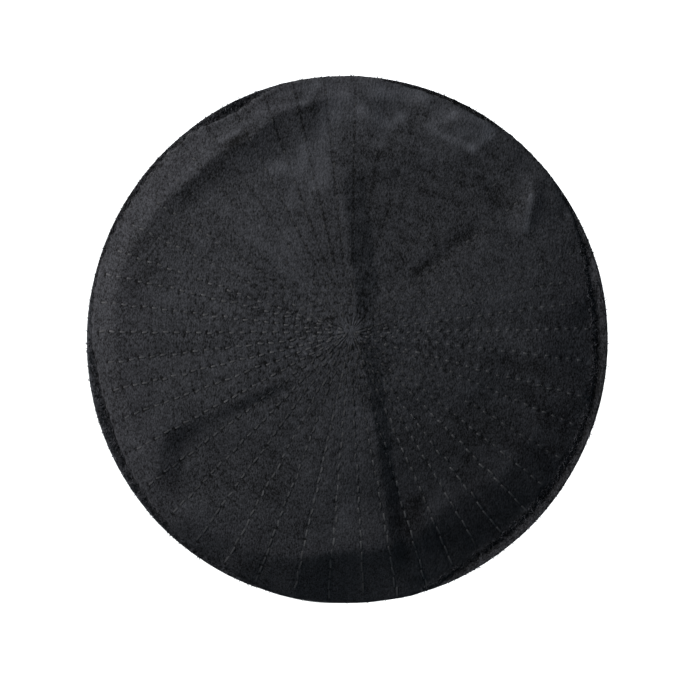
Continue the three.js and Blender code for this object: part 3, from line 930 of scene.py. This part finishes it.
def roll_rows(band, azimuth):
    """Points of the band's roll, from the seam out to the top of the side."""
    puckers = UNEVENNESS.run("puckers", azimuth)
    rows = []
    for step, (out, rise, below) in enumerate(zip(*map(roll_curve, ("out", "rise", "below")))):
        swell = math.sin(math.pi * step / (ROLL_STEPS - 1))
        tufts = UNEVENNESS.run("tufts", azimuth, step)
        radius = band.seam_radius + out * band.inset + (ROLL_PUCKER * puckers + tufts) * swell
        rows.append(band.points(radius, band.seam_z - below + rise * band.crest + tufts * swell))
    return rows


def outside_rows(band):
    """Points of the outside, down from below the roll and round the foot of the hem."""
    rows = []
    for share in np.linspace(1, 0, SIDE_ROWS)[1:-1]:
        z = mix(HEM_ROUND, band.side_top, share)
        rows.append(band.points(band.outer_radius(z), z))
    turns = np.radians(HEM_TURNS)
    for edge, sign, order in ((RIM_RADIUS, -1, turns), (RIM_RADIUS - HEM_WALL, 1, turns[::-1])):
        for turn in order:
            radius = edge + sign * HEM_ROUND * (1 - math.cos(turn))
            rows.append(band.points(radius, HEM_ROUND * (1 - math.sin(turn))))
    return rows


def inside_rows(band):
    """Points of the inside, from the top of the hem up to the seam."""
    rows = [band.points(band.side_radius(HEM_TALL) - HEM_WALL, HEM_TALL)]
    rows.append(band.points(band.side_radius(HEM_TALL) - BAND_WALL, HEM_TALL + HEM_STEP))
    for share in np.linspace(0, 1, INSIDE_ROWS)[1:]:
        z = mix(HEM_TALL + HEM_STEP, band.inside_top, share)
        rows.append(band.points(band.side_radius(z) - BAND_WALL, z))
    rows.append(band.points(band.seam_radius - BAND_WALL, band.seam_z - ROLL[0]["below"]))
    return rows


def make_band(velvet, backing):
    azimuth = np.arange(BAND_COLUMNS) * 360 / BAND_COLUMNS
    band = Band(azimuth)
    outside = roll_rows(band, azimuth) + outside_rows(band)
    rows = outside + inside_rows(band)
    faces, starts = ring_faces(len(rows), BAND_COLUMNS, True)
    inside = [int(row >= len(outside)) for row in starts]
    points = np.concatenate(rows)
    piece = add_object("band_velvet", points, faces, [velvet, backing], inside)
    strip = 1 - smoothstep(np.tile(band.side_top, len(rows)) - points[:, 2], *STRIP_FADE)
    strip[: ROLL_STEPS * BAND_COLUMNS] = 1
    outs = np.ones(len(rows))
    outs[:ROLL_STEPS] = roll_curve("out")
    # the painted shade and painted highlight beside the seam, fading down the side
    tone = strip_painted_light(azimuth[None, :], outs[:, None]).ravel()
    frayed = strip * np.clip(1 + STRIP_CALM * tone, 0, 1)
    crush = mix(SIDE_CRUSH, STRIP_CRUSH, frayed)
    add_attributes(piece, {"nap_and_painted_light": tone * strip, "fleck": frayed, "crush": crush})
    return piece


def make_hem_stitches(thread):
    random = np.random.default_rng(SEED + 2)
    count = int(2 * np.pi * RIM_RADIUS / STITCH_PITCH)
    steps = np.array(STITCH_STEPS)
    pitch = 360 / count
    azimuth = pitch * (np.arange(count)[:, None] + HEM_STITCH_SHARE * steps)
    z = HEM_STITCH_Z + random.normal(0, HEM_STITCH_UNEVEN, (count, 1)) + 0 * steps
    band = Band(azimuth)
    dx, dy = toward(band.bearing)
    normals = np.stack([dx, dy, 0 * dx], axis=-1)
    lift = np.array(STITCH_LIFT) + HEM_STITCH_SHOW
    paths = band.points(band.outer_radius(z), z) + normals * lift[:, None]
    return make_threads("hem_stitches", paths, normals, np.full(count, HEM_SHADE), thread)


# Loose fibres
def make_fibres(random, roots, azimuth, velvet):
    """Thin spikes that lean out or in and sideways at random and stand up a little, joined in one mesh."""
    lengths = random.uniform(*FIBRE_LENGTHS, len(roots))
    out = random.normal(0, FIBRE_OUT, len(roots))
    aside = random.normal(0, FIBRE_ASIDE, len(roots))
    dx, dy = toward(azimuth)
    ways = unit(np.stack([out * dx - aside * dy, out * dy + aside * dx, FIBRE_UP + 0 * out], axis=-1))
    sides = unit(np.cross(ways, ACROSS_FIBRES))
    ups = np.cross(sides, ways)
    turns = np.radians(FIBRE_CORNERS)
    feet = [roots + FIBRE_RADIUS * (math.cos(turn) * sides + math.sin(turn) * ups) for turn in turns]
    points = np.stack([*feet, roots + ways * lengths[:, None]], axis=1)
    pattern = [(0, 1, 3), (1, 2, 3), (2, 0, 3), (0, 2, 1)]
    faces = [tuple(4 * fibre + i for i in face) for fibre in range(len(points)) for face in pattern]
    return add_object("rim_fibres", points.reshape(-1, 3), faces, [velvet])


def make_rim_fibres(velvet):
    random = np.random.default_rng(SEED + 4)
    azimuth = random.uniform(0, 360, RIM_FIBRES)
    band = Band(azimuth)
    step = random.integers(1, ROLL_STEPS, RIM_FIBRES)
    out, rise, below = (roll_curve(column)[step] for column in ("out", "rise", "below"))
    strip = band.points(band.seam_radius + out * band.inset, band.seam_z - below + rise * band.crest)
    kept = random.uniform(0, np.max(band.inset), RIM_FIBRES) < band.inset
    edge_azimuth = random.uniform(*EDGE_AZIMUTHS, EDGE_FIBRES)
    share = 1 - random.uniform(0, EDGE_STRIP, EDGE_FIBRES) / seam_reach(edge_azimuth)
    roots = np.concatenate([strip[kept], crown_top(share, edge_azimuth)])
    azimuth = np.concatenate([azimuth[kept], edge_azimuth])
    fibres = make_fibres(random, roots, azimuth, velvet)
    outs = np.concatenate([out[kept], np.zeros(EDGE_FIBRES)])
    # each fibre's own random tone, with the strip's painted shade and painted highlight
    tones = random.uniform(*FIBRE_TONES, len(roots)) + strip_painted_light(azimuth, outs)
    add_attributes(fibres, {"nap_and_painted_light": np.repeat(tones, len(FIBRE_CORNERS) + 1)})
    return fibres


# Materials
class Number:
    """A number that a material works out at each point."""

    def __init__(self, tree, socket):
        self.tree = tree
        self.socket = socket

    def worked(self, operation, other=0):
        node = self.tree.nodes.new("ShaderNodeMath")
        node.operation = operation
        self.tree.links.new(self.socket, node.inputs[0])
        if isinstance(other, Number):
            self.tree.links.new(other.socket, node.inputs[1])
        else:
            node.inputs[1].default_value = other
        return Number(self.tree, node.outputs["Value"])

    def __add__(self, other):
        return self.worked("ADD", other)

    def __sub__(self, other):
        return self.worked("SUBTRACT", other)

    def __rsub__(self, other):
        return self * -1 + other

    def __mul__(self, other):
        return self.worked("MULTIPLY", other)

    def __truediv__(self, other):
        return self.worked("DIVIDE", other)


class Surface:
    """A material, with what its colour and its relief are made from."""

    def __init__(self, name):
        self.look = named(MATERIALS, name)
        self.material = bpy.data.materials.new(name)
        self.material.use_nodes = True
        self.tree = self.material.node_tree
        self.inputs = self.tree.nodes["Principled BSDF"].inputs
        self.inputs["Base Color"].default_value = (*self.look["base"], 1)
        self.inputs["Roughness"].default_value = self.look["roughness"]
        self.inputs["Specular IOR Level"].default_value = self.look["shine"]

    def add(self, kind, **values):
        node = self.tree.nodes.new("ShaderNode" + kind)
        for name, value in values.items():
            node.inputs[name].default_value = value
        return node

    def noise(self, name):
        row = named(NOISES, name)
        where = self.add("TexCoord")
        mapping = self.add("Mapping", Scale=row["stretch"])
        noise = self.add("TexNoise", Scale=row["scale"], Detail=row["detail"])
        self.tree.links.new(where.outputs["Object"], mapping.inputs["Vector"])
        self.tree.links.new(mapping.outputs["Vector"], noise.inputs["Vector"])
        return Number(self.tree, noise.outputs["Fac"])

    def attribute(self, name):
        node = self.add("Attribute")
        node.attribute_name = name
        return Number(self.tree, node.outputs["Fac"])

    def scale_colour(self, factor):
        """Make the base colour lighter and darker by a factor."""
        scale = self.add("VectorMath", Vector=self.look["base"])
        scale.operation = "SCALE"
        self.tree.links.new(factor.socket, scale.inputs["Scale"])
        self.tree.links.new(scale.outputs["Vector"], self.inputs["Base Color"])

    def ramp_colour(self, factor, stops):
        ramp = self.add("ValToRGB")
        for element, (position, colour) in zip(ramp.color_ramp.elements, stops):
            element.position = position
            element.color = (*colour, 1)
        self.tree.links.new(factor.socket, ramp.inputs["Fac"])
        self.tree.links.new(ramp.outputs["Color"], self.inputs["Base Color"])

    def raise_by(self, height):
        """Give the surface a fine relief."""
        bump = self.add("Bump", Strength=self.look["relief"], Distance=self.look["depth"])
        self.tree.links.new(height.socket, bump.inputs["Height"])
        self.tree.links.new(bump.outputs["Normal"], self.inputs["Normal"])


def nearness(away):
    """From 1 on the spot to 0 where the distance, squared, is 1 or more."""
    return (1 - away).worked("MAXIMUM", 0)


def stitch_spots(surface, spot, strength):
    """How near a point is to the spots that lie along the sewn lines, one a stitch, from 0 to 1."""
    along = (surface.attribute("step") + (0.5 - spot["middle"])).worked("FRACT") - 0.5
    long = along * (STITCH_PITCH / spot["long"])
    wide = surface.attribute("aside") / spot["wide"]
    return nearness(long * long + wide * wide) * surface.attribute(strength)


def groove_painted_shade(surface):
    """The painted shade along a line that is sewn deep into the pile."""
    wide = surface.attribute("aside") / GROOVE_WIDE
    return nearness(wide * wide) * surface.attribute("groove")


def velvet_material():
    """Short black pile: fine tufts that lean along Y, in patches that were brushed one way or another,
    with painted shade and painted highlight.
    """
    pile = Surface("velvet_pile")
    tufts = pile.noise("tufts")
    flecks = pile.noise("flecks")
    grain = 1 - pile.attribute("calm")
    crushed = pile.attribute("crush") * CRUSH_CONTRAST + PATCH_CONTRAST
    light = (tufts - NOISE_MIDDLE) * (grain * TUFT_CONTRAST) + 1
    light += (pile.noise("fibres") - NOISE_MIDDLE) * (grain * FIBRE_CONTRAST)
    light += (pile.noise("patches") - NOISE_MIDDLE) * crushed
    light += (flecks - NOISE_MIDDLE) * (pile.attribute("fleck") * FLECK_CONTRAST)
    # painted shade and painted highlight from the shoulder, the strokes and the seam, with the pile's
    # random tones
    light += pile.attribute("nap_and_painted_light")
    # painted shade in the stitch holes and grooves, and painted highlight on the swells between holes
    light += stitch_spots(pile, HOLE_SPOT, "hole") * HOLE_PAINTED_SHADE
    light += stitch_spots(pile, SWELL_SPOT, "swell") * flecks * SWELL_PAINTED_HIGHLIGHT
    light -= groove_painted_shade(pile)
    pile.scale_colour(light.worked("MAXIMUM", DARKEST_PILE))
    for name, value in SHEEN.items():
        pile.inputs[name].default_value = value
    pile.raise_by(tufts)
    return pile.material


def thread_material():
    """Black thread, as light as the shade of each stitch, with uneven strands."""
    thread = Surface("sewing_thread")
    strands = thread.noise("strands")
    thread.scale_colour(thread.attribute("shade") + (strands - NOISE_MIDDLE))
    thread.raise_by(strands)
    return thread.material


def backing_material():
    """Plain black weave on the inside."""
    backing = Surface("plain_backing")
    weave = backing.noise("weave") * backing.noise("slubs")
    backing.ramp_colour(weave, WEAVE_STOPS)
    backing.raise_by(weave)
    return backing.material


# Stage
def make_floor():
    mesh = bpy.data.meshes.new("floor")
    ways = [(-1, -1), (1, -1), (1, 1), (-1, 1)]
    mesh.from_pydata([(FLOOR_HALF * x, FLOOR_HALF * y, 0) for x, y in ways], [], [(0, 1, 2, 3)])
    mesh.materials.append(Surface("pale_floor").material)
    floor = place("floor", mesh)
    return floor


def add_lamp(row, lit):
    """A square lamp that points at the kufi and lights only the given objects."""
    turn = math.radians(row["azimuth"])
    rise = math.radians(row["elevation"])
    data = bpy.data.lights.new(row["name"], "AREA")
    data.size = row["side"]
    data.energy = row["watts"]
    data.color = row["colour"]
    lamp = place(row["name"], data)
    flat = row["distance"] * math.cos(rise)
    up = row["distance"] * math.sin(rise) + HEIGHT * MM
    lamp.location = (flat * math.cos(turn), flat * math.sin(turn), up)
    lamp.rotation_euler = (0, math.pi / 2 - rise, turn)
    receivers = bpy.data.collections.new(row["name"] + "_receivers")
    for item in lit:
        receivers.objects.link(item)
    lamp.light_linking.receiver_collection = receivers


def light_scene(pieces, floor):
    add_lamp(KEY_LAMP, pieces)
    add_lamp(FLOOR_LAMP, [floor])
    world = bpy.data.worlds.new("studio")
    world.use_nodes = True
    background = world.node_tree.nodes["Background"]
    background.inputs["Color"].default_value = SKY_COLOUR
    background.inputs["Strength"].default_value = SKY_STRENGTH
    bpy.context.scene.world = world
    bpy.context.scene.view_settings.view_transform = "Standard"


def add_camera():
    pixel = 2 * OUTLINE_HALF_X / OUTLINE_WIDTH_PX
    data = bpy.data.cameras.new("camera")
    data.lens = data.sensor_width * CAMERA_CLEARANCE / (PHOTO_SIDE * pixel)
    camera = place("camera", data)
    x = (PHOTO_SIDE / 2 - OUTLINE_CENTRE_PX[0]) * pixel
    y = (OUTLINE_CENTRE_PX[1] - PHOTO_SIDE / 2) * pixel
    camera.location = (x * MM, y * MM, (OUTLINE_Z + CAMERA_CLEARANCE) * MM)
    bpy.context.scene.camera = camera


def main():
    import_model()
    velvet = velvet_material()
    thread = thread_material()
    backing = backing_material()
    crown = make_crown(velvet, backing)
    band = make_band(velvet, backing)
    fibres = make_rim_fibres(velvet)
    crown_stitches = make_crown_stitches(thread)
    hem_stitches = make_hem_stitches(thread)
    pieces = {"velvet": [crown, band, fibres], "thread": [crown_stitches, hem_stitches]}
    for slot, members in pieces.items():
        for piece in members:
            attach(piece, "root")
    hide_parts("crown")
    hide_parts("side_band")
    add_camera()
    light_scene(pieces["velvet"] + pieces["thread"], make_floor())


main()
